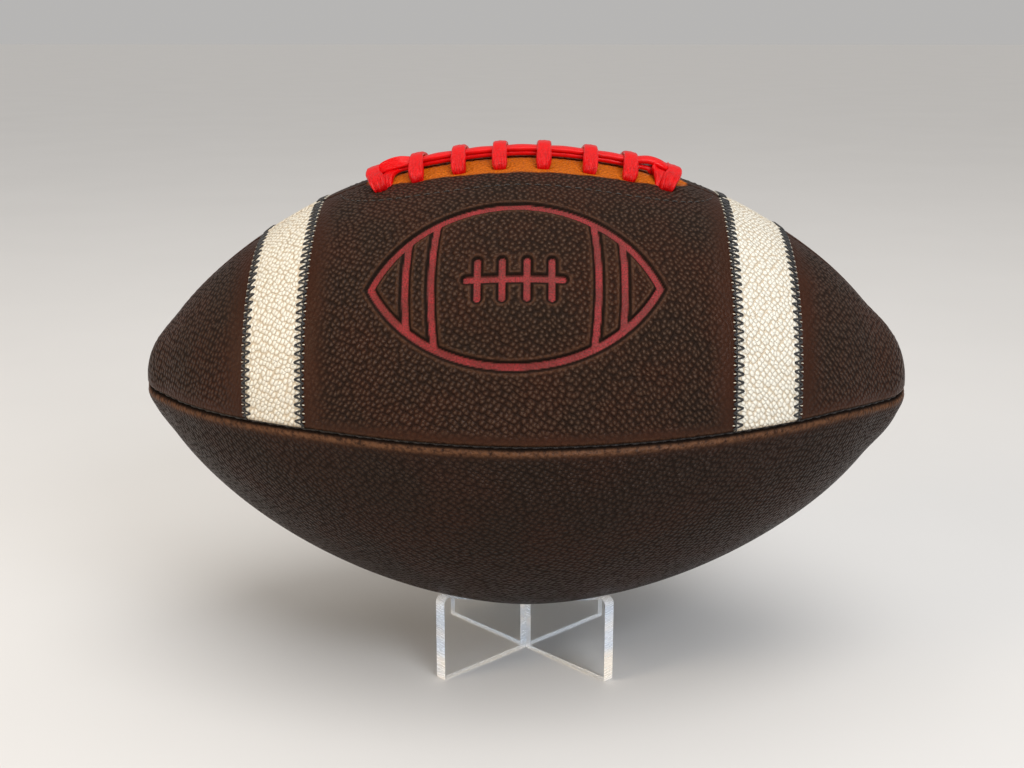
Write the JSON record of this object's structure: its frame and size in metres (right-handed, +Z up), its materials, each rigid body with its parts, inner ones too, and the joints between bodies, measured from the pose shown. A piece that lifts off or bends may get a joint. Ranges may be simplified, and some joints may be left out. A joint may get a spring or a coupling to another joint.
{
  "type": "american football on crossed plate stand",
  "caption": "Laced leather football with white bands, resting on a low stand of two crossed clear plates that lift apart.",
  "frame": {"origin": "centre of the bounding box, on the table the stand rests on", "axes": "+X along the ball's long axis, +Y away from the viewer, +Z up"},
  "size_m": [0.2816, 0.1688, 0.1962],
  "materials": {
    "dark_leather": "pebbled, semi-gloss",
    "white_leather": "pebbled, semi-gloss",
    "black_thread": "waxed thread",
    "seam_thread": "waxed thread",
    "lining_canvas": "woven",
    "facing_leather": "plain",
    "red_lace": "coated grip lace, satin",
    "bladder_rubber": "matt",
    "valve_rubber": "matt",
    "clear_acrylic": "clear, polished edges"
  },
  "bodies": {
    "lower_plate": {"stand_plate_lower": "clear_acrylic"},
    "upper_plate": {"stand_plate_upper": "clear_acrylic"},
    "ball": {"panel_front_upper": "dark_leather", "lining_front_upper": "lining_canvas", "panel_front_lower": "dark_leather", "lining_front_lower": "lining_canvas", "panel_back_upper": "dark_leather", "lining_back_upper": "lining_canvas", "panel_back_lower": "dark_leather", "lining_back_lower": "lining_canvas", "stripe_front_left": "white_leather", "zigzag_front_left_a": "black_thread", "zigzag_front_left_b": "black_thread", "stripe_front_right": "white_leather", "zigzag_front_right_a": "black_thread", "zigzag_front_right_b": "black_thread", "lace_facing_front": "facing_leather", "facing_thread_front": "seam_thread", "stripe_back_left": "white_leather", "zigzag_back_left_a": "black_thread", "zigzag_back_left_b": "black_thread", "stripe_back_right": "white_leather", "zigzag_back_right_a": "black_thread", "zigzag_back_right_b": "black_thread", "lace_facing_back": "facing_leather", "facing_thread_back": "seam_thread", "seam_thread_front": "seam_thread", "seam_thread_back": "seam_thread", "seam_thread_bottom": "seam_thread", "seam_thread_top_left": "seam_thread", "seam_thread_top_right": "seam_thread", "lace_tongue": "lining_canvas", "lace": "red_lace", "bladder": "bladder_rubber", "valve": "valve_rubber"}
  },
  "joints": [
    {"name": "plate_slide", "type": "slide", "parent": "lower_plate", "child": "upper_plate", "axis": [0, 0, 1], "range_m": [0, 0.03]},
    {"name": "ball_lift", "type": "slide", "parent": "upper_plate", "child": "ball", "axis": [0, 0, 1], "range_m": [0, 0.12]}
  ]
}
